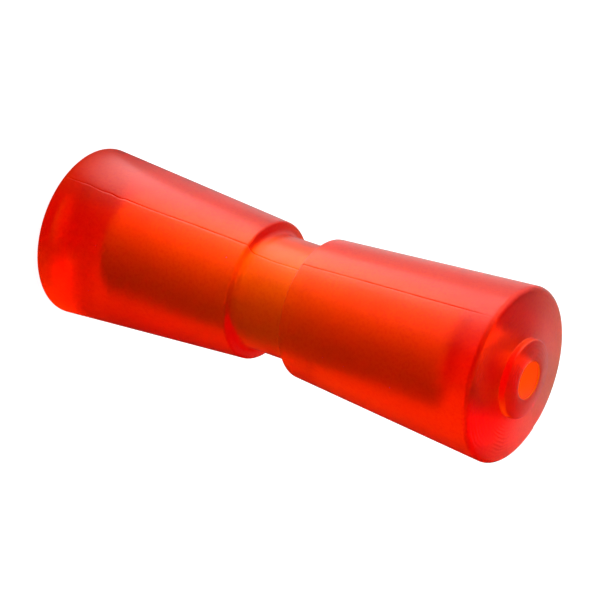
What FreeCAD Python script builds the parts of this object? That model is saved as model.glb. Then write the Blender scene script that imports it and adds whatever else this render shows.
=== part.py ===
# Boat trailer roller: one moulding in translucent red polymer, standing on its lower hub.
# The roller's axis is Z and its lower hub land lies on the plane Z = 0. Sizes are in mm.
import FreeCAD
import Part
import Sketcher
import math
import os

doc = FreeCAD.newDocument("TrailerRoller")

# Driving sizes
sizes = doc.addObject("Spreadsheet::Sheet", "Sizes")
driving = [
    ("RimDiameter", 80.4, "Lobe, at its outer end, before the rim is rounded"),
    ("ShoulderDiameter", 65.0, "Lobe, at the waist shoulder"),
    ("WaistDiameter", 54.0, "Waist between the lobes"),
    ("WaistWidth", 29.4, "Shoulder to shoulder, at their outer edges"),
    ("BodyLength", 235.0, "Rim to rim, before the rims are rounded"),
    ("ShoulderDraft", 4.5, "Lean of the shoulder faces towards the waist, degrees"),
    ("FaceCrown", 2.8, "Rise of the end face from rim to hub"),
    ("FaceEdgeWidth", 6.0, "Outer band of the end face, where it falls faster to the rim"),
    ("FaceEdgeDrop", 0.95, "Fall of the end face over that band"),
    ("HubDiameter", 36.0, "Hub raised on the end face"),
    ("HubHeight", 2.9, "Hub side, above the end face"),
    ("HubCrown", 1.3, "Rise of the hub face from its edge to the land"),
    ("LandWidth", 2.5, "Flat land around the bore"),
    ("AxleDiameter", 16.0, "Axle that the roller turns on"),
    ("AxleClearance", 1.0, "Bore over axle, on the diameter"),
    ("HollowDiameter", 30.0, "Hollow cored out inside the moulding"),
    ("EndWall", 24.0, "Rim to the end of the hollow"),
    ("RimRound", 2.5, "Rim edge"),
    ("RootRound", 2.8, "Shoulder to waist"),
    ("ShoulderChamfer", 1.1, "Outer edge of the shoulder"),
    ("HubChamfer", 0.7, "Outer edge of the hub"),
    ("LipChamfer", 0.5, "Bore mouth"),
    ("SeamWidth", 0.5, "Parting line, across"),
    ("SeamDepth", 0.2, "Parting line, into the surface"),
    ("SeamGap", 0.8, "End of the parting line to the nearest edge break"),
    ("SeamTop", 1.5, "Cutter above the surface"),
]
for row, (alias, number, note) in enumerate(driving, start=1):
    sizes.set("A%d" % row, alias)
    sizes.set("B%d" % row, str(number))
    sizes.set("C%d" % row, note)
    sizes.setAlias("B%d" % row, alias)
doc.recompute()

# Radii that several sketches share, as expressions on the sheet
RIM_R = "Sizes.RimDiameter / 2"
FACE_EDGE_R = RIM_R + " - Sizes.FaceEdgeWidth"
SHOULDER_R = "Sizes.ShoulderDiameter / 2"
SHOULDER_EDGE_R = SHOULDER_R + " - Sizes.ShoulderChamfer"
WAIST_R = "Sizes.WaistDiameter / 2"
HUB_R = "Sizes.HubDiameter / 2"
HUB_EDGE_R = HUB_R + " - Sizes.HubChamfer"
HOLLOW_R = "Sizes.HollowDiameter / 2"
BORE_R = "(Sizes.AxleDiameter + Sizes.AxleClearance) / 2"
LAND_R = BORE_R + " + Sizes.LandWidth"

# Heights from the lower land upwards
HUB_Z = "Sizes.HubCrown"
HUB_SIDE_Z = HUB_Z + " + Sizes.HubChamfer"
FACE_Z = HUB_Z + " + Sizes.HubHeight"
RIM_Z = FACE_Z + " + Sizes.FaceCrown"
FACE_EDGE_Z = RIM_Z + " - Sizes.FaceEdgeDrop"
MIDDLE_Z = RIM_Z + " + Sizes.BodyLength / 2"
SHOULDER_Z = MIDDLE_Z + " - Sizes.WaistWidth / 2"
FLANK_END_Z = SHOULDER_Z + " - Sizes.ShoulderChamfer"
DRAFT_RISE = "(%s - %s) * tan(Sizes.ShoulderDraft * 1 deg)" % (SHOULDER_EDGE_R, WAIST_R)
ROOT_Z = SHOULDER_Z + " + " + DRAFT_RISE
HIGH_ROOT_Z = SHOULDER_Z + " + Sizes.WaistWidth - " + DRAFT_RISE
HIGH_FLANK_END_Z = SHOULDER_Z + " + Sizes.WaistWidth + Sizes.ShoulderChamfer"
HIGH_RIM_Z = RIM_Z + " + Sizes.BodyLength"
HOLLOW_Z = RIM_Z + " + Sizes.EndWall"
HOLLOW_TOP_Z = HIGH_RIM_Z + " - Sizes.EndWall"

body = doc.addObject("PartDesign::Body", "Roller")
body.Label = "roller"


def originPlane(role):
    for feature in body.Origin.OriginFeatures:
        if feature.Role == role:
            return feature
    raise RuntimeError("no origin feature " + role)


def newSketch(name, role):
    sketch = body.newObject("Sketcher::SketchObject", name)
    sketch.AttachmentSupport = [(originPlane(role), "")]
    sketch.MapMode = "FlatFace"
    return sketch


def drive(sketch, constraint, expression):
    """Add one dimension and bind it to the sheet."""
    index = sketch.addConstraint(constraint)
    sketch.setExpression("Constraints[%d]" % index, expression)


def value(expression):
    """Present value of an expression on the sheet, used for the first draft of a sketch."""
    return float(sizes.evalExpression(expression))


def placePoint(sketch, geometry, point, radius, height):
    """Hold a sketch point at a radius from the axis and a height above the base."""
    if radius == "0":
        sketch.addConstraint(Sketcher.Constraint("PointOnObject", geometry, point, -2))
    else:
        drive(sketch, Sketcher.Constraint("DistanceX", -1, 1, geometry, point, value(radius)), radius)
    if height == "0":
        sketch.addConstraint(Sketcher.Constraint("PointOnObject", geometry, point, -1))
    else:
        drive(sketch, Sketcher.Constraint("DistanceY", -1, 1, geometry, point, value(height)), height)


def vector(radius, height):
    return FreeCAD.Vector(radius, height, 0)


def segment(sketch, start, end):
    return sketch.addGeometry(Part.LineSegment(vector(*start), vector(*end)), False)


def closeChain(sketch, lines):
    """Join each line's end to the next one's start."""
    for index, line in enumerate(lines):
        following = lines[(index + 1) % len(lines)]
        sketch.addConstraint(Sketcher.Constraint("Coincident", line, 2, following, 1))


def cornerArc(corner, before, after, rounding):
    """First and last point of the arc that rounds a corner, the arc, and whether it turns left."""
    back, ahead = before - corner, after - corner
    back.normalize()
    ahead.normalize()
    reach = rounding / math.tan(back.getAngle(ahead) / 2)
    bisector = back + ahead
    bisector.normalize()
    centre = corner + bisector * math.hypot(reach, rounding)
    first, last = corner + back * reach, corner + ahead * reach
    leftTurn = back.cross(ahead).z < 0
    angles = [math.atan2(end.y - centre.y, end.x - centre.x) for end in (first, last)]
    if not leftTurn:
        angles.reverse()
    circle = Part.Circle(centre, FreeCAD.Vector(0, 0, 1), rounding)
    return first, last, Part.ArcOfCircle(circle, angles[0], angles[1]), leftTurn


def turnedOutline(sketch, corners):
    """
    Closed outline of straight runs, with a tangent arc at each corner that has a rounding.
    corners lists (radius from the axis, height, rounding or None), all as expressions. A rounded
    corner keeps a construction point, which holds both of its lines.
    """
    count = len(corners)
    places = [vector(value(radius), value(height)) for radius, height, rounding in corners]
    starts, ends, arcs = list(places), list(places), {}
    for index, (radius, height, rounding) in enumerate(corners):
        if rounding is not None:
            before, after = places[index - 1], places[(index + 1) % count]
            first, last, arc, leftTurn = cornerArc(places[index], before, after, value(rounding))
            ends[index], starts[index], arcs[index] = first, last, (arc, leftTurn)

    lines = []
    for index in range(count):
        start, end = starts[index], ends[(index + 1) % count]
        lines.append(segment(sketch, (start.x, start.y), (end.x, end.y)))
    for index, (radius, height, rounding) in enumerate(corners):
        incoming, outgoing = lines[index - 1], lines[index]
        if rounding is None:
            sketch.addConstraint(Sketcher.Constraint("Coincident", incoming, 2, outgoing, 1))
            placePoint(sketch, outgoing, 1, radius, height)
            continue
        arc, leftTurn = arcs[index]
        bend = sketch.addGeometry(arc, False)
        first, last = (1, 2) if leftTurn else (2, 1)
        sketch.addConstraint(Sketcher.Constraint("Tangent", incoming, 2, bend, first))
        sketch.addConstraint(Sketcher.Constraint("Tangent", bend, last, outgoing, 1))
        drive(sketch, Sketcher.Constraint("Radius", bend, value(rounding)), rounding)
        point = sketch.addGeometry(Part.Point(places[index]), True)
        sketch.addConstraint(Sketcher.Constraint("PointOnObject", point, 1, incoming))
        sketch.addConstraint(Sketcher.Constraint("PointOnObject", point, 1, outgoing))
        placePoint(sketch, point, 1, radius, height)


def checkFeature(feature):
    if "Invalid" in feature.State or "Error" in feature.State:
        raise RuntimeError("%s failed: %s" % (feature.Name, feature.State))


def checkRemoves(feature, before):
    """A cut must make the solid smaller."""
    doc.recompute()
    checkFeature(feature)
    if feature.Shape.Volume > before - 1e-3:
        raise RuntimeError(feature.Name + " removes nothing")
    return feature.Shape.Volume


# Lower half: one lobe with its crowned end face and hub, and half of the waist
half = newSketch("HalfSection", "XZ_Plane")
turnedOutline(half, [
    ("0", "0", None),
    (LAND_R, "0", None),
    (HUB_EDGE_R, HUB_Z, None),
    (HUB_R, HUB_SIDE_Z, None),
    (HUB_R, FACE_Z, None),
    (FACE_EDGE_R, FACE_EDGE_Z, None),
    (RIM_R, RIM_Z, "Sizes.RimRound"),
    (SHOULDER_R, FLANK_END_Z, None),
    (SHOULDER_EDGE_R, SHOULDER_Z, None),
    (WAIST_R, ROOT_Z, "Sizes.RootRound"),
    (WAIST_R, MIDDLE_Z, None),
    ("0", MIDDLE_Z, None),
])
lowerHalf = body.newObject("PartDesign::Revolution", "LowerHalf")
lowerHalf.Profile = half
lowerHalf.ReferenceAxis = (half, ["V_Axis"])
lowerHalf.Angle = 360.0
doc.recompute()
checkFeature(lowerHalf)

middlePlane = body.newObject("PartDesign::Plane", "MiddlePlane")
middlePlane.AttachmentSupport = [(originPlane("XY_Plane"), "")]
middlePlane.MapMode = "FlatFace"
middlePlane.setExpression("AttachmentOffset.Base.z", MIDDLE_Z)
bothHalves = body.newObject("PartDesign::Mirrored", "BothHalves")
bothHalves.Originals = [lowerHalf]
bothHalves.MirrorPlane = (middlePlane, [""])
body.Tip = bothHalves
doc.recompute()
checkFeature(bothHalves)
volume = bothHalves.Shape.Volume
if abs(volume - 2 * lowerHalf.Shape.Volume) > 1e-3 * volume:
    raise RuntimeError("the upper half is missing")

# Axle bore, through the whole length
boreCircle = newSketch("BoreCircle", "XY_Plane")
boreCircle.addGeometry(Part.Circle(vector(0, 0), FreeCAD.Vector(0, 0, 1), value(BORE_R)), False)
boreCircle.addConstraint(Sketcher.Constraint("Coincident", 0, 3, -1, 1))
drive(boreCircle, Sketcher.Constraint("Radius", 0, value(BORE_R)), BORE_R)
bore = body.newObject("PartDesign::Pocket", "AxleBore")
bore.Profile = boreCircle
bore.Type = "ThroughAll"
bore.Reversed = True
volume = checkRemoves(bore, volume)

# Hollow inside the moulding, between the two thick end walls
hollowSection = newSketch("HollowSection", "XZ_Plane")
turnedOutline(hollowSection, [
    ("0", HOLLOW_Z, None),
    (HOLLOW_R, HOLLOW_Z, None),
    (HOLLOW_R, HOLLOW_TOP_Z, None),
    ("0", HOLLOW_TOP_Z, None),
])
hollow = body.newObject("PartDesign::Groove", "Hollow")
hollow.Profile = hollowSection
hollow.ReferenceAxis = (hollowSection, ["V_Axis"])
hollow.Angle = 360.0
volume = checkRemoves(hollow, volume)


def mouthEdges(shape):
    """Names of the two circles where the bore meets the hub lands."""
    heights = (0.0, 2 * value(MIDDLE_Z))
    names = []
    for number, edge in enumerate(shape.Edges, start=1):
        curve = edge.Curve
        if not isinstance(curve, Part.Circle) or abs(curve.Radius - value(BORE_R)) > 1e-3:
            continue
        if min(abs(curve.Center.z - height) for height in heights) < 1e-3:
            names.append("Edge%d" % number)
    if len(names) != 2:
        raise RuntimeError("expected two bore mouths, found %d" % len(names))
    return names


lips = body.newObject("PartDesign::Chamfer", "LipChamfers")
lips.Base = (hollow, mouthEdges(hollow.Shape))
lips.setExpression("Size", "Sizes.LipChamfer")
volume = checkRemoves(lips, volume)

# Parting line of the two mould halves: a fine groove along the flanks and the waist
seam = newSketch("SeamSection", "XZ_Plane")


def seamCutter(sketch, first, second, firstGap, secondGap):
    """Four-sided cutter that sinks SeamDepth into the flank from first to second (radius, height)."""
    (firstR, firstZ), (secondR, secondZ) = first, second
    r0, z0, r1, z1 = value(firstR), value(firstZ), value(secondR), value(secondZ)
    flank = sketch.addGeometry(Part.LineSegment(vector(r0, z0), vector(r1, z1)), True)
    placePoint(sketch, flank, 1, firstR, firstZ)
    placePoint(sketch, flank, 2, secondR, secondZ)
    low, high = z0 + value(firstGap), z1 - value(secondGap)
    slope = (r1 - r0) / (z1 - z0)
    depth, above = value("Sizes.SeamDepth"), value("Sizes.SeamTop")

    def onFlank(height, offset):
        return (r0 + slope * (height - z0) + offset, height)

    floor = segment(sketch, onFlank(low, -depth), onFlank(high, -depth))
    upperEnd = segment(sketch, onFlank(high, -depth), onFlank(high, above))
    cover = segment(sketch, onFlank(high, above), onFlank(low, above))
    lowerEnd = segment(sketch, onFlank(low, above), onFlank(low, -depth))
    closeChain(sketch, [floor, upperEnd, cover, lowerEnd])
    for line in (floor, cover):
        sketch.addConstraint(Sketcher.Constraint("Parallel", line, flank))
    for line in (upperEnd, lowerEnd):
        sketch.addConstraint(Sketcher.Constraint("Horizontal", line))
    drive(sketch, Sketcher.Constraint("Distance", floor, 1, flank, depth), "Sizes.SeamDepth")
    drive(sketch, Sketcher.Constraint("Distance", cover, 2, flank, above), "Sizes.SeamTop")
    drive(sketch, Sketcher.Constraint("DistanceY", -1, 1, floor, 1, low), firstZ + " + " + firstGap)
    drive(sketch, Sketcher.Constraint("DistanceY", -1, 1, floor, 2, high),
          secondZ + " - (" + secondGap + ")")


rimGap = "Sizes.RimRound + Sizes.SeamGap"
shoulderGap = "Sizes.SeamGap"
rootGap = "Sizes.RootRound"
seamCutter(seam, (RIM_R, RIM_Z), (SHOULDER_R, FLANK_END_Z), rimGap, shoulderGap)
seamCutter(seam, (WAIST_R, ROOT_Z), (WAIST_R, HIGH_ROOT_Z), rootGap, rootGap)
seamCutter(seam, (SHOULDER_R, HIGH_FLANK_END_Z), (RIM_R, HIGH_RIM_Z), shoulderGap, rimGap)
seamCut = body.newObject("PartDesign::Pocket", "SeamLine")
seamCut.Profile = seam
seamCut.Type = "Length"
seamCut.SideType = "Symmetric"
seamCut.setExpression("Length", "Sizes.SeamWidth")
volume = checkRemoves(seamCut, volume)

seamPair = body.newObject("PartDesign::PolarPattern", "SeamLinePair")
seamPair.Originals = [seamCut]
seamPair.Axis = (boreCircle, ["N_Axis"])
seamPair.Angle = 360.0
seamPair.Occurrences = 2
body.Tip = seamPair
checkRemoves(seamPair, volume)

# Checks before anything is written
doc.recompute()
for feature in doc.Objects:
    checkFeature(feature)
for sketch in [item for item in doc.Objects if item.TypeId == "Sketcher::SketchObject"]:
    if sketch.solve() != 0:
        raise RuntimeError(sketch.Name + " does not solve")
shape = body.Shape
if shape.isNull() or not shape.isValid() or len(shape.Solids) != 1:
    raise RuntimeError("the roller is not one valid solid")

os.makedirs("parts", exist_ok=True)
shape.exportStep("parts/%s.step" % body.Label)
print("roller: length %.2f mm, volume %.1f cm3" % (2 * value(MIDDLE_Z), shape.Volume / 1000))
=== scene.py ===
import math
import bmesh
import bpy
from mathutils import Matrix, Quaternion, Vector, noise


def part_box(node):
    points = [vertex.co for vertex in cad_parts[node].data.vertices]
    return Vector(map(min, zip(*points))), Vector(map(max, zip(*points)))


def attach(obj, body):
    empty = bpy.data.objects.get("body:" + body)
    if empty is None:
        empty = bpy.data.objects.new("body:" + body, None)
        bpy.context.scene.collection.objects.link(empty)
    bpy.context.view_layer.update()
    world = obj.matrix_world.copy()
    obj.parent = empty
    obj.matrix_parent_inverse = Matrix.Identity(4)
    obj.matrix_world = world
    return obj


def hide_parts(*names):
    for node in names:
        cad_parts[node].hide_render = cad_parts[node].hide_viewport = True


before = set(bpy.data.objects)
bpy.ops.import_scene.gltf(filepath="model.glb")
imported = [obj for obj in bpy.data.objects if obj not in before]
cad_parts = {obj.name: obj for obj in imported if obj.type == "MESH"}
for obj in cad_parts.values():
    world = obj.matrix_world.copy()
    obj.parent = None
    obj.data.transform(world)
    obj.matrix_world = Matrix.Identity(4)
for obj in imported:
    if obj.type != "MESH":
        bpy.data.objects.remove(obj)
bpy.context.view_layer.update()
low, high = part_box("roller")
mm = 0.001
rollerLength = (high.z - low.z) / mm
middleHeight = (low.z + high.z) / 2
print("frame loaded, roller is %.1f mm long" % rollerLength)


# roller sizes in mm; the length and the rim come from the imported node's box
rollerShape = {
    "rimCorner": 0.17,        # sharp corner of the rim outside the widest circle
    "shoulderRadius": 32.5,
    "waistRadius": 27.0,
    "waistWidth": 29.4,
    "shoulderDraft": 4.5,     # degrees
    "hubRadius": 18.0,
    "hubCrown": 1.3,
    "hubSide": 2.9,
    "faceCrown": 2.8,
    "faceEdgeWidth": 6.0,
    "faceEdgeDrop": 0.95,
    "landRadius": 11.0,
    "boreRadius": 8.5,
    "hollowRadius": 15.0,
    "endWall": 24.0,
    "rimRound": 2.5,
    "rootRound": 2.8,
    "shoulderRound": 1.2,
    "hubRound": 1.0,
    "hubRootRound": 0.35,
    "lipRound": 0.5,
    "hollowRound": 2.0,
    "mouthRound": 0.6,
    "outsideFrom": 20.0,      # flanks, rims and waist lie beyond this radius, hubs and bore within it
    "rowHeight": 1.5,         # longest step along the flanks and the waist
    "bendStep": 12.0,         # degrees of each round between two rows
    "turnStep": 2.0,          # degrees around the axis
    "slack": 0.01,            # how far a point may be off a wall and still belong to it
}

# the two mould halves meet at azimuth 0 and 180
partingLine = {
    "columns": (0.0, 0.12, 0.26, 0.42, 0.7, 1.2),   # mm on both sides of the line at the rim
    "depth": 0.23,
    "halfWidth": 0.42,
    "ends": (7.5, 12.0, 222.0, 243.0),    # heights where the groove starts, is full, fades and ends
    "unevenness": 1.2,                    # share of its depth that the groove loses at the peaks of a noise
    "unevenStep": 0.35,                   # noise per mm: a larger step makes shorter changes of depth
    "unevenApart": 7.3,                   # keeps the second line from repeating the first
    "carry": (2.0, 14.0),                 # degrees beside the line that its wander carries wholly, and at all
    # height in mm, azimuth in degrees
    "wander": ((0, 0.3), (12, 0.4), (21, 0.0), (29, 0.9), (34, 0.4), (40, 1.2), (43, 0.6), (57, 0.9),
               (84, 0.0), (108, -0.3), (112, -0.3), (123, 1.0), (135, 0.6), (142, 0.35), (192, -0.3),
               (239, -0.6), (249, -0.6)),
    "deepCuts": ((34.0, 40.5, 0.22), (110.5, 112.5, 0.15)),   # from, to, extra depth, on the first line
}

# a step in the flash of the upper rim, where the halves meet at azimuth 180
rimNick = {
    "azimuths": (180.0, 189.5),           # deepest at the first, gone at the second
    "below": (11.5, 7.5),                 # mm below the upper land where it starts and is full
    "depth": 0.24,
}


def roundedPath(corners, bendStep):
    # corners are (radius, height, rounding), the path is a closed loop of (radius, height)
    path = []
    count = len(corners)
    for index, (radius, height, rounding) in enumerate(corners):
        corner = Vector((radius, height))
        back = (Vector(corners[index - 1][:2]) - corner).normalized()
        ahead = (Vector(corners[(index + 1) % count][:2]) - corner).normalized()
        if rounding <= 0:
            path.append(corner)
            continue
        half = back.angle(ahead) / 2
        reach = rounding / math.tan(half)
        centre = corner + (back + ahead).normalized() * rounding / math.sin(half)
        first = corner + back * reach - centre
        last = corner + ahead * reach - centre
        turn = first.angle_signed(last)
        steps = max(2, math.ceil(abs(math.degrees(turn)) / bendStep))
        start = math.atan2(first.y, first.x)
        for step in range(steps + 1):
            angle = start - turn * step / steps
            path.append(centre + Vector((math.cos(angle), math.sin(angle))) * rounding)
    return path


def dividedPath(path, rowHeight, outsideFrom):
    # long runs of the outside get rows in between, the rest stays plain
    rows = []
    for index, point in enumerate(path):
        following = path[(index + 1) % len(path)]
        run = (following - point).length
        outside = min(point.x, following.x) > outsideFrom
        pieces = max(1, math.ceil(run / rowHeight)) if outside else 1
        rows.extend(point.lerp(following, step / pieces) for step in range(pieces))
    return rows


def rollerCorners(shape, rimRadius):
    # one closed section, from the lower bore mouth out and up to the upper one and back inside
    hubZ = shape["hubCrown"]
    faceZ = hubZ + shape["hubSide"]
    rimZ = faceZ + shape["faceCrown"]
    shoulderZ = rollerLength / 2 - shape["waistWidth"] / 2
    draft = math.tan(math.radians(shape["shoulderDraft"]))
    rootZ = shoulderZ + (shape["shoulderRadius"] - shape["waistRadius"]) * draft
    hollowZ = rimZ + shape["endWall"]
    rim = rimRadius + shape["rimCorner"]
    lowerHalf = [
        (shape["boreRadius"], hollowZ, shape["mouthRound"]),
        (shape["boreRadius"], 0.0, shape["lipRound"]),
        (shape["landRadius"], 0.0, 0.0),
        (shape["hubRadius"], hubZ, shape["hubRound"]),
        (shape["hubRadius"], faceZ, shape["hubRootRound"]),
        (rim - shape["faceEdgeWidth"], rimZ - shape["faceEdgeDrop"], 0.0),
        (rim, rimZ, shape["rimRound"]),
        (shape["shoulderRadius"], shoulderZ, shape["shoulderRound"]),
        (shape["waistRadius"], rootZ, shape["rootRound"]),
    ]
    upperHalf = [(radius, rollerLength - height, rounding)
                 for radius, height, rounding in reversed(lowerHalf)]
    lowerHollow = (shape["hollowRadius"], hollowZ, shape["hollowRound"])
    upperHollow = (shape["hollowRadius"], rollerLength - hollowZ, shape["hollowRound"])
    return lowerHalf + upperHalf + [upperHollow, lowerHollow]


def turnAngles(turnStep, rimRadius, distances):
    # even columns, and close ones on both sides of each parting line, in degrees
    near = sorted({math.degrees(side * distance / rimRadius) for distance in distances for side in (-1, 1)})
    angles = []
    for line in (0.0, 180.0):
        angles.extend(line + offset for offset in near)
        count = round(180.0 / turnStep)
        span = 180.0 - 2 * near[-1]
        angles.extend(line + near[-1] + span * step / count for step in range(1, count))
    return angles


def wallKind(point, shape):
    # material slots: 0 outside, 1 wall and ends of the cored hollow, 2 bore
    depth = min(point.y, rollerLength - point.y) + shape["slack"]
    radius = point.x - shape["slack"]
    hollowStart = shape["hubCrown"] + shape["hubSide"] + shape["faceCrown"] + shape["endWall"]
    if radius < shape["boreRadius"] and depth > shape["lipRound"]:
        return 2
    return int(radius < shape["hollowRadius"] and depth > hollowStart)


def smoothRamp(value, start, end):
    part = min(1.0, max(0.0, (value - start) / (end - start)))
    return part * part * (3 - 2 * part)


def lineShift(line, height, opposite):
    # how far the line strays from its azimuth, in degrees; the opposite one is the first turned end for end
    table = line["wander"]
    if opposite:
        height = table[-1][0] - height
    shift = table[-1][1]
    for (lowZ, lowShift), (highZ, highShift) in zip(table, table[1:]):
        if height <= highZ:
            shift = lowShift + (highShift - lowShift) * smoothRamp(height, lowZ, highZ)
            break
    return -shift if opposite else shift


def lineDepth(line, height, opposite):
    start, full, fading, end = line["ends"]
    depth = line["depth"] * smoothRamp(height, start, full) * (1 - smoothRamp(height, fading, end))
    along = Vector((opposite * line["unevenApart"], 0.0, height * line["unevenStep"]))
    depth *= 1 - line["unevenness"] * abs(noise.noise(along))
    for first, last, extra in line["deepCuts"]:
        if not opposite and first < height < last:
            depth += extra * math.sin(math.pi * (height - first) / (last - first))
    return max(0.0, depth)


def nickDepth(nick, height, azimuth):
    first, last = nick["azimuths"]
    if not first <= azimuth <= last:
        return 0.0
    start, full = (rollerLength - below for below in nick["below"])
    return nick["depth"] * smoothRamp(height, start, full) * (1 - (azimuth - first) / (last - first))


def surfacePoint(point, normal, azimuth, shape, line, nick):
    # a point of the section turned to its azimuth, with the parting line and the nick cut in
    opposite = 90.0 < azimuth % 360.0 < 270.0
    offset = azimuth % 360.0 - 180.0 if opposite else (azimuth + 180.0) % 360.0 - 180.0
    beside = abs(offset)
    inward = 0.0
    if point.x > shape["outsideFrom"]:
        distance = math.radians(beside) * point.x
        if distance < line["halfWidth"]:
            inward = lineDepth(line, point.y, opposite) * (1 - distance / line["halfWidth"])
        wholly, atAll = line["carry"]
        if beside < atAll:
            azimuth += lineShift(line, point.y, opposite) * (1 - smoothRamp(beside, wholly, atAll))
        inward += nickDepth(nick, point.y, azimuth % 360.0)
    place = point - normal * inward
    turn = math.radians(azimuth)
    return place.x * mm * math.cos(turn), place.x * mm * math.sin(turn), place.y * mm


def addObject(name, data):
    item = bpy.data.objects.new(name, data)
    bpy.context.scene.collection.objects.link(item)
    return item


def makeRoller(shape, line, nick):
    rimRadius = min(-low.x, high.x, -low.y, high.y) / mm
    corners = rollerCorners(shape, rimRadius)
    path = dividedPath(roundedPath(corners, shape["bendStep"]), shape["rowHeight"], shape["outsideFrom"])
    angles = turnAngles(shape["turnStep"], rimRadius, line["columns"])
    kinds = [wallKind(point, shape) for point in path]
    mesh = bmesh.new()
    rings = []
    for row, point in enumerate(path):
        along = (path[(row + 1) % len(path)] - path[row - 1]).normalized()
        normal = Vector((along.y, -along.x))
        places = [surfacePoint(point, normal, angle, shape, line, nick) for angle in angles]
        rings.append([mesh.verts.new(place) for place in places])
    for row, ring in enumerate(rings):
        following = (row + 1) % len(rings)
        above = rings[following]
        for column in range(len(angles)):
            beside = (column + 1) % len(angles)
            face = mesh.faces.new((ring[column], ring[beside], above[beside], above[column]))
            face.smooth = True
            face.material_index = min(kinds[row], kinds[following])
    bmesh.ops.recalc_face_normals(mesh, faces=mesh.faces)
    data = bpy.data.meshes.new("rollerMoulding")
    mesh.to_mesh(data)
    mesh.free()
    print("roller: %d rows, %d columns, %d faces" % (len(path), len(angles), len(data.polygons)))
    return addObject("rollerMoulding", data)


def setSocket(tree, socket, value):
    # a socket takes another node's output or a plain value
    if isinstance(value, bpy.types.NodeSocket):
        tree.links.new(value, socket)
    else:
        socket.default_value = value


def setPlain(node, values):
    # what is the same all over is set on the node's own sockets
    for name, value in values.items():
        node.inputs[name].default_value = value


def mathNode(tree, operation, first, second=0.0):
    node = tree.nodes.new("ShaderNodeMath")
    node.operation = operation
    setSocket(tree, node.inputs[0], first)
    setSocket(tree, node.inputs[1], second)
    return node.outputs["Value"]


def vectorNode(tree, operation, first, second=(0.0, 0.0, 0.0)):
    node = tree.nodes.new("ShaderNodeVectorMath")
    node.operation = operation
    setSocket(tree, node.inputs[0], first)
    setSocket(tree, node.inputs[1], second)
    return node.outputs["Value" if operation in ("LENGTH", "DISTANCE", "DOT_PRODUCT") else "Vector"]


def rampNode(tree, value, start, end, first=0.0, last=1.0, smooth=False):
    node = tree.nodes.new("ShaderNodeMapRange")
    node.interpolation_type = "SMOOTHSTEP" if smooth else "LINEAR"
    names = ("Value", "From Min", "From Max", "To Min", "To Max")
    for name, setting in zip(names, (value, start, end, first, last)):
        setSocket(tree, node.inputs[name], setting)
    return node.outputs["Result"]


def mixColor(tree, factor, first, second):
    # the colours of a mix node are its inputs 6 and 7 and its output 2
    node = tree.nodes.new("ShaderNodeMix")
    node.data_type = "RGBA"
    for index, value in ((0, factor), (6, first), (7, second)):
        setSocket(tree, node.inputs[index], value)
    return node.outputs[2]


def noiseNode(tree, place, scale, detail, stretch=None):
    if stretch:
        place = vectorNode(tree, "MULTIPLY", place, stretch)
    node = tree.nodes.new("ShaderNodeTexNoise")
    for name, value in (("Vector", place), ("Scale", scale), ("Detail", detail)):
        setSocket(tree, node.inputs[name], value)
    return node.outputs["Fac"]


def objectPlace(tree):
    return tree.nodes.new("ShaderNodeTexCoord").outputs["Object"]


def newMaterial(name):
    material = bpy.data.materials.new(name)
    material.use_nodes = True
    return material, material.node_tree, material.node_tree.nodes["Principled BSDF"]


def newGroup(name, inputs, output, outputType):
    group = bpy.data.node_groups.new(name, "ShaderNodeTree")
    for label, socketType in inputs:
        group.interface.new_socket(name=label, in_out="INPUT", socket_type=socketType)
    group.interface.new_socket(name=output, in_out="OUTPUT", socket_type=outputType)
    given = group.nodes.new("NodeGroupInput").outputs
    result = group.nodes.new("NodeGroupOutput").inputs[output]
    return group, given, result


def placeGroup(tree, group, values):
    node = tree.nodes.new("ShaderNodeGroup")
    node.node_tree = group
    for name, value in values.items():
        setSocket(tree, node.inputs[name], value)
    return node.outputs[0]


cloudDetail = 2.0   # how finely the clouds are broken up


def makeSoftClouds():
    # clouds that blend one colour into another, in the compound and on the core's wall
    inputs = [("Place", "NodeSocketVector")]
    inputs += [(name, "NodeSocketFloat") for name in ("Scale", "Clear Below", "Cloudy Above")]
    inputs += [(name, "NodeSocketColor") for name in ("Clear Color", "Cloud Color")]
    group, given, result = newGroup("softClouds", inputs, "Color", "NodeSocketColor")
    cloud = noiseNode(group, given["Place"], given["Scale"], cloudDetail)
    cloudy = rampNode(group, cloud, given["Clear Below"], given["Cloudy Above"])
    group.links.new(mixColor(group, cloudy, given["Clear Color"], given["Cloud Color"]), result)
    return group


def makeEndDepth():
    # distance below the nearer end of the roller, in metres
    inputs = [("Place", "NodeSocketVector"), ("Middle Height", "NodeSocketFloat")]
    group, given, result = newGroup("endDepth", inputs, "Depth", "NodeSocketFloat")
    split = group.nodes.new("ShaderNodeSeparateXYZ")
    group.links.new(given["Place"], split.inputs["Vector"])
    fromMiddle = mathNode(group, "SUBTRACT", split.outputs["Z"], given["Middle Height"])
    fromMiddle = mathNode(group, "ABSOLUTE", fromMiddle)
    group.links.new(mathNode(group, "SUBTRACT", given["Middle Height"], fromMiddle), result)
    return group


softClouds = makeSoftClouds()
endDepth = makeEndDepth()


def cloudyColor(tree, place, settings):
    clearBelow, cloudyAbove = settings["cloudEdges"]
    return placeGroup(tree, softClouds, {
        "Place": place,
        "Scale": settings["cloudScale"],
        "Clear Below": clearBelow,
        "Cloudy Above": cloudyAbove,
        "Clear Color": settings["clearColor"],
        "Cloud Color": settings["cloudColor"],
    })


def depthFromEnd(tree, place):
    return placeGroup(tree, endDepth, {"Place": place, "Middle Height": middleHeight})


def colorFromAir(tree, airColor, color):
    # inner walls have another colour where they are seen from the air, without compound in front
    behindCompound = tree.nodes.new("ShaderNodeNewGeometry").outputs["Backfacing"]
    return mixColor(tree, behindCompound, airColor, color)


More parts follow.
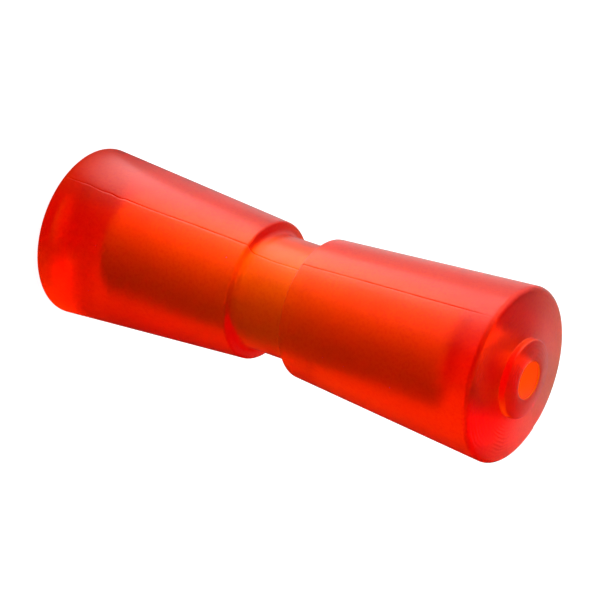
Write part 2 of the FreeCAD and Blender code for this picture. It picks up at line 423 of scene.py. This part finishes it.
# clear red moulding compound, a little cloudy
# each pair of edges says where a noise starts to count and where it counts fully
redPolymer = {
    "clearColor": (1.0, 0.5, 0.003, 1.0),
    "cloudColor": (0.97, 0.4, 0.003, 1.0),
    "cloudScale": 45.0,
    "cloudEdges": (0.35, 0.65),
    "roughness": (0.285, 0.37),           # a smoother skin comes out of the denoiser with ragged dark edges
    "wipeScale": 30.0,                    # soft streaks in the roughness, longer along the axis
    "wipeDetail": 3.0,
    "wipeStretch": (1.0, 1.0, 0.3),
    "wipeEdges": (0.35, 0.65),
    "grainColor": (0.84, 0.33, 0.003, 1.0),
    "grainShare": 0.5,
    "grainScale": 700.0,
    "grainDetail": 2.0,
    "grainEdges": (0.45, 0.65),
    "grainHeight": 0.00006,
    "coatWeight": (0.035, 0.12),          # from the dull grains to the glossy ones
    "coatDetail": 1.0,
    "coatStretch": (1.0, 1.0, 0.25),
    "coatEdges": (0.35, 0.65),
    "speckColor": (1.0, 0.75, 0.6, 1.0),
    "speckRoughness": 0.9,
    # turning marks that the mould's end plates left on the faces
    "marks": {"Scale": 190.0, "Distortion": 7.0, "Detail": 2.0, "Detail Scale": 0.4},
    "markHeight": 0.00006,
    "markDepth": 0.0075,                  # the faces lie above this distance from each end, in metres
    "markRadius": 0.0385,
    "patchScale": 70.0,                   # the marks show in patches
    "patchDetail": 1.0,
    "patchEdges": (0.45, 0.65),
    "shader": {
        "IOR": 1.5,
        "Specular Tint": (1.0, 0.1, 0.02, 1.0),
        "Coat Roughness": 0.14,
        "Transmission Weight": 1.0,
    },
    "absorption": {"Color": (0.98, 0.52, 0.0, 1.0), "Density": 100.0},
}

# specks in the skin: azimuth in degrees, height and radius in mm
specks = (
    (74.1, 35.8, 0.30), (15.6, 103.5, 0.34), (66.7, 201.7, 0.42), (65.0, 164.6, 0.24), (65.2, 176.3, 0.24),
    (38.9, 38.4, 0.36), (-50.8, 240.8, 0.30),
)


def flankRadius(height):
    # radius of the outside at a height, in mm
    depth = min(height, rollerLength - height)
    shoulder = rollerLength / 2 - rollerShape["waistWidth"] / 2
    if depth > shoulder:
        return rollerShape["waistRadius"]
    rimZ = rollerShape["hubCrown"] + rollerShape["hubSide"] + rollerShape["faceCrown"]
    rim = high.y / mm + rollerShape["rimCorner"]
    return rim + (rollerShape["shoulderRadius"] - rim) * (depth - rimZ) / (shoulder - rimZ)


def speckMask(tree, place, spots):
    # 1 inside any of the listed specks
    mask = 0.0
    for azimuth, height, radius in spots:
        turn = math.radians(azimuth)
        reach = flankRadius(height) * mm
        centre = (reach * math.cos(turn), reach * math.sin(turn), height * mm)
        away = vectorNode(tree, "DISTANCE", place, centre)
        inside = mathNode(tree, "LESS_THAN", away, radius * mm)
        mask = mathNode(tree, "MAXIMUM", mask, inside)
    return mask


def turningMarks(tree, place, settings):
    # rings round the axis, in patches, only on the two end faces
    rings = tree.nodes.new("ShaderNodeTexWave")
    rings.wave_type = "RINGS"
    rings.rings_direction = "Z"
    tree.links.new(place, rings.inputs["Vector"])
    setPlain(rings, settings["marks"])
    patches = noiseNode(tree, place, settings["patchScale"], settings["patchDetail"])
    patches = rampNode(tree, patches, *settings["patchEdges"])
    onEnd = mathNode(tree, "LESS_THAN", depthFromEnd(tree, place), settings["markDepth"])
    radius = vectorNode(tree, "LENGTH", vectorNode(tree, "MULTIPLY", place, (1.0, 1.0, 0.0)))
    withinRim = mathNode(tree, "LESS_THAN", radius, settings["markRadius"])
    marked = mathNode(tree, "MULTIPLY", rings.outputs["Fac"], patches)
    return mathNode(tree, "MULTIPLY", marked, mathNode(tree, "MULTIPLY", onEnd, withinRim))


def makeRedPolymer(settings, spots):
    material, tree, shader = newMaterial("redPolymer")
    place = objectPlace(tree)
    speck = speckMask(tree, place, spots)
    grain = noiseNode(tree, place, settings["grainScale"], settings["grainDetail"])

    grainy = rampNode(tree, grain, *settings["grainEdges"], 0.0, settings["grainShare"])
    color = cloudyColor(tree, place, settings)
    color = mixColor(tree, grainy, color, settings["grainColor"])
    color = mixColor(tree, speck, color, settings["speckColor"])
    tree.links.new(color, shader.inputs["Base Color"])

    wipe = noiseNode(tree, place, settings["wipeScale"], settings["wipeDetail"], settings["wipeStretch"])
    roughness = rampNode(tree, wipe, *settings["wipeEdges"], *settings["roughness"])
    speckRoughness = mathNode(tree, "MULTIPLY", speck, settings["speckRoughness"])
    roughness = mathNode(tree, "MAXIMUM", roughness, speckRoughness)
    tree.links.new(roughness, shader.inputs["Roughness"])

    gloss = noiseNode(tree, place, settings["grainScale"], settings["coatDetail"], settings["coatStretch"])
    coat = rampNode(tree, gloss, *settings["coatEdges"], *settings["coatWeight"])
    tree.links.new(coat, shader.inputs["Coat Weight"])

    relief = mathNode(tree, "MULTIPLY", grain, settings["grainHeight"])
    marks = mathNode(tree, "MULTIPLY", turningMarks(tree, place, settings), settings["markHeight"])
    bump = tree.nodes.new("ShaderNodeBump")
    bump.inputs["Distance"].default_value = 1.0   # the heights are in metres already
    tree.links.new(mathNode(tree, "ADD", relief, marks), bump.inputs["Height"])
    tree.links.new(bump.outputs["Normal"], shader.inputs["Normal"])

    setPlain(shader, settings["shader"])
    absorption = tree.nodes.new("ShaderNodeVolumeAbsorption")
    setPlain(absorption, settings["absorption"])
    tree.links.new(absorption.outputs["Volume"], tree.nodes["Material Output"].inputs["Volume"])
    return material


# the matte wall that the mould's core leaves inside
coreSkin = {
    "clearColor": (1.0, 0.95, 0.6, 1.0),
    "cloudColor": (0.93, 0.78, 0.5, 1.0),
    "cloudScale": 22.0,
    "cloudEdges": (0.3, 0.75),
    "airColor": (1.0, 0.14, 0.008, 1.0),
    "shader": {"Roughness": 0.7, "Specular IOR Level": 0.1, "Transmission Weight": 0.25},
}


def makeCoreSkin(settings):
    material, tree, shader = newMaterial("coreSkin")
    color = cloudyColor(tree, objectPlace(tree), settings)
    tree.links.new(colorFromAir(tree, settings["airColor"], color), shader.inputs["Base Color"])
    setPlain(shader, settings["shader"])
    return material


# the bore wall hardly bends the light, so it melts into the cloudy body; its two mouths glow orange
boreSkin = {
    "deepColor": (1.0, 1.0, 1.0, 1.0),
    "airColor": (1.0, 0.3, 0.03, 1.0),
    "mouthColor": (1.0, 0.008, 0.001, 1.0),
    "mouthDepth": (0.012, 0.016),         # metres from the end where the mouth starts to fade and is gone
    "shader": {"Roughness": 0.8, "IOR": 1.25, "Transmission Weight": 1.0},
}


def makeBoreSkin(settings):
    material, tree, shader = newMaterial("boreSkin")
    mouth = rampNode(tree, depthFromEnd(tree, objectPlace(tree)), *settings["mouthDepth"], 1.0, 0.0)
    color = colorFromAir(tree, settings["airColor"], settings["deepColor"])
    tree.links.new(mixColor(tree, mouth, color, settings["mouthColor"]), shader.inputs["Base Color"])
    setPlain(shader, settings["shader"])
    return material


roller = makeRoller(rollerShape, partingLine, rimNick)
roller.data.materials.append(makeRedPolymer(redPolymer, specks))
roller.data.materials.append(makeCoreSkin(coreSkin))
roller.data.materials.append(makeBoreSkin(boreSkin))
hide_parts("roller")
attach(roller, "root")
print("materials ready")


# studio: a pale floor and room; bearings and heights are in degrees, distances in metres
# what the gloss mirrors is set apart from it: dark below the roller, white low behind its end
studio = {
    "lightColor": (1.0, 1.0, 1.0, 1.0),
    "throughShare": 0.85,                 # how white the background is behind the compound
    "floorSize": 8.0,
    "floorHeight": -0.0002,               # just below the land, so that the two never share a plane
    "floorColor": (0.35, 0.35, 0.35, 1.0),
    "floorRoughness": 0.9,
    "floorLift": (0.92, 0.3),             # glow of the white part and of the rest, for straight rays
    "whiteEdge": (59.5, 0.058, 0.05),     # bearing that its edge faces, distance from the axis, fade
    "mirroredFloor": (0.003, 0.003, 0.003, 1.0),
    "mirroredRim": (-60.0, 0.03, 0.12, 0.85),     # bearing, where it starts and is full, level
    "glowCardPlace": (-43.0, 0.0),            # a glowing patch painted into the floor's emission beside the roller, no lamp and unseen by the camera; it lights the compound, and the gloss mirrors a share of it as a sheen
    "glowCardEdges": (27.0, 17.0),            # degrees from its bearing where the card ends and is full
    "glowCardReach": (0.05, 0.085, 0.9, 1.2),         # where it starts, is full, fades and ends
    "glowCardLevel": 10.0,
    "glowCardMirrored": 0.35,                 # share of it that the gloss mirrors
    "roomLight": 0.55,                    # light that the room gives to matte surfaces
    "windowPlace": (-50.0, 15.0),         # bearing and height of a soft window
    "windowEdges": (40.0, 15.0),          # degrees from there where it ends and is full
    "windowLevel": 6.0,
    "mirroredPlace": (224.0, 4.0),        # the same for the white that only the gloss mirrors
    "mirroredEdges": (32.0, 10.0),
    "mirroredLevel": 0.85,
}


def bearingVector(bearing, elevation):
    turn = math.radians(bearing)
    tilt = math.radians(elevation)
    return Vector((math.cos(turn) * math.cos(tilt), math.sin(turn) * math.cos(tilt), math.sin(tilt)))


def rayKinds(tree, throughShare):
    # straight: from the camera, and with a smaller share through the compound; mirrored: off the gloss
    # both end at the first matte surface, where the diffuse depth goes from 0 to 1
    path = tree.nodes.new("ShaderNodeLightPath")
    unscattered = mathNode(tree, "LESS_THAN", path.outputs["Diffuse Depth"], 0.5)
    through = mathNode(tree, "MULTIPLY", path.outputs["Is Transmission Ray"], throughShare)
    straight = mathNode(tree, "MAXIMUM", path.outputs["Is Camera Ray"], through)
    mirrored = mathNode(tree, "SUBTRACT", path.outputs["Is Glossy Ray"], path.outputs["Is Transmission Ray"])
    mirrored = mathNode(tree, "MAXIMUM", mirrored, 0.0)
    straight = mathNode(tree, "MULTIPLY", straight, unscattered)
    mirrored = mathNode(tree, "MULTIPLY", mirrored, unscattered)
    return straight, mirrored


def directionMask(tree, direction, place, edges):
    # 1 near a direction, 0 away from it, the edges are in degrees
    facing = vectorNode(tree, "DOT_PRODUCT", direction, bearingVector(*place))
    outer, inner = (math.cos(math.radians(edge)) for edge in edges)
    return rampNode(tree, facing, outer, inner, smooth=True)


def whiteFloor(tree, place, settings):
    bearing, reach, fade = settings["whiteEdge"]
    past = vectorNode(tree, "DOT_PRODUCT", place, bearingVector(bearing, 0.0))
    return rampNode(tree, past, reach, reach + fade, *settings["floorLift"], smooth=True)


def glowingCard(tree, place, mirrored, settings):
    # painted light: the floor glows here as a hidden light, at full level for matte and through rays, at a
    # smaller share for the gloss, and not at all for the camera
    starts, full, fades, ends = settings["glowCardReach"]
    distance = vectorNode(tree, "LENGTH", place)
    outward = vectorNode(tree, "NORMALIZE", place)
    card = directionMask(tree, outward, settings["glowCardPlace"], settings["glowCardEdges"])
    card = mathNode(tree, "MULTIPLY", card, rampNode(tree, distance, starts, full, smooth=True))
    card = mathNode(tree, "MULTIPLY", card, rampNode(tree, distance, fades, ends, 1.0, 0.0, smooth=True))
    card = mathNode(tree, "MULTIPLY", card, settings["glowCardLevel"])
    cameraRay = tree.nodes.new("ShaderNodeLightPath").outputs["Is Camera Ray"]
    unseen = mathNode(tree, "SUBTRACT", 1.0, cameraRay)
    share = rampNode(tree, mirrored, 0.0, 1.0, unseen, settings["glowCardMirrored"])
    return mathNode(tree, "MULTIPLY", card, share)


def mirroredRim(tree, place, mirrored, settings):
    # the floor turns white again away from the roller, for the gloss only
    bearing, starts, full, level = settings["mirroredRim"]
    past = vectorNode(tree, "DOT_PRODUCT", place, bearingVector(bearing, 0.0))
    return mathNode(tree, "MULTIPLY", mirrored, rampNode(tree, past, starts, full, 0.0, level, smooth=True))


def makeFloor(settings):
    half = settings["floorSize"] / 2
    height = settings["floorHeight"]
    data = bpy.data.meshes.new("studioFloor")
    corners = [(-half, -half, height), (half, -half, height), (half, half, height), (-half, half, height)]
    data.from_pydata(corners, [], [(0, 1, 2, 3)])
    floor = addObject("studioFloor", data)
    material, tree, shader = newMaterial("palePaper")
    setPlain(shader, {"Roughness": settings["floorRoughness"], "Emission Color": settings["lightColor"]})
    straight, mirrored = rayKinds(tree, settings["throughShare"])
    color = mixColor(tree, mirrored, settings["floorColor"], settings["mirroredFloor"])
    tree.links.new(color, shader.inputs["Base Color"])
    place = objectPlace(tree)
    glow = mathNode(tree, "MULTIPLY", straight, whiteFloor(tree, place, settings))
    glow = mathNode(tree, "ADD", glow, glowingCard(tree, place, mirrored, settings))
    glow = mathNode(tree, "ADD", glow, mirroredRim(tree, place, mirrored, settings))
    tree.links.new(glow, shader.inputs["Emission Strength"])
    data.materials.append(material)


def makeWorld(settings):
    world = bpy.data.worlds.new("paleRoom")
    bpy.context.scene.world = world
    world.use_nodes = True
    tree = world.node_tree
    background = tree.nodes["Background"]
    background.inputs["Color"].default_value = settings["lightColor"]
    direction = tree.nodes.new("ShaderNodeTexCoord").outputs["Generated"]
    white = directionMask(tree, direction, settings["mirroredPlace"], settings["mirroredEdges"])
    white = mathNode(tree, "MULTIPLY", white, settings["mirroredLevel"])
    window = directionMask(tree, direction, settings["windowPlace"], settings["windowEdges"])
    window = mathNode(tree, "MULTIPLY", window, settings["windowLevel"])
    straight, mirrored = rayKinds(tree, settings["throughShare"])
    strength = rampNode(tree, straight, 0.0, 1.0, settings["roomLight"], 1.0)
    strength = mathNode(tree, "ADD", strength, window)
    strength = rampNode(tree, mirrored, 0.0, 1.0, strength, white)
    tree.links.new(strength, background.inputs["Strength"])


# lamps face the roller's middle from a bearing and a height, both in degrees
lamps = {
    "topSoftbox": {"place": (-62.0, 22.0), "distance": 1.2, "size": (2.4, 1.6), "power": 12.0},
}


def makeLamp(name, settings):
    away = bearingVector(*settings["place"])
    data = bpy.data.lights.new(name, "AREA")
    data.shape = "RECTANGLE"
    data.size, data.size_y = settings["size"]
    data.energy = settings["power"]
    lamp = addObject(name, data)
    lamp.location = (low + high) / 2 + away * settings["distance"]
    lamp.rotation_mode = "QUATERNION"
    lamp.rotation_quaternion = away.to_track_quat("Z", "Y")


# the photograph's view: turned on its side, so that the upright roller lies across the frame
viewpoint = {
    "aim": (-0.0009, -0.0014, 0.1269),
    "distance": 1.3487,
    "place": (29.80, 30.583),
    "roll": 108.93,
    "lens": 179.53,
    "clip": (0.05, 50.0),
}


def makeCamera(settings):
    away = bearingVector(*settings["place"])
    data = bpy.data.cameras.new("photoCamera")
    data.lens = settings["lens"]
    data.clip_start, data.clip_end = settings["clip"]
    camera = addObject("photoCamera", data)
    camera.location = Vector(settings["aim"]) + away * settings["distance"]
    camera.rotation_mode = "QUATERNION"
    roll = Quaternion((0, 0, 1), math.radians(settings["roll"]))
    camera.rotation_quaternion = away.to_track_quat("Z", "Y") @ roll
    bpy.context.scene.camera = camera


makeFloor(studio)
makeWorld(studio)
for name, settings in lamps.items():
    makeLamp(name, settings)
makeCamera(viewpoint)
bpy.context.scene.view_settings.view_transform = "Standard"
print("studio and camera ready")
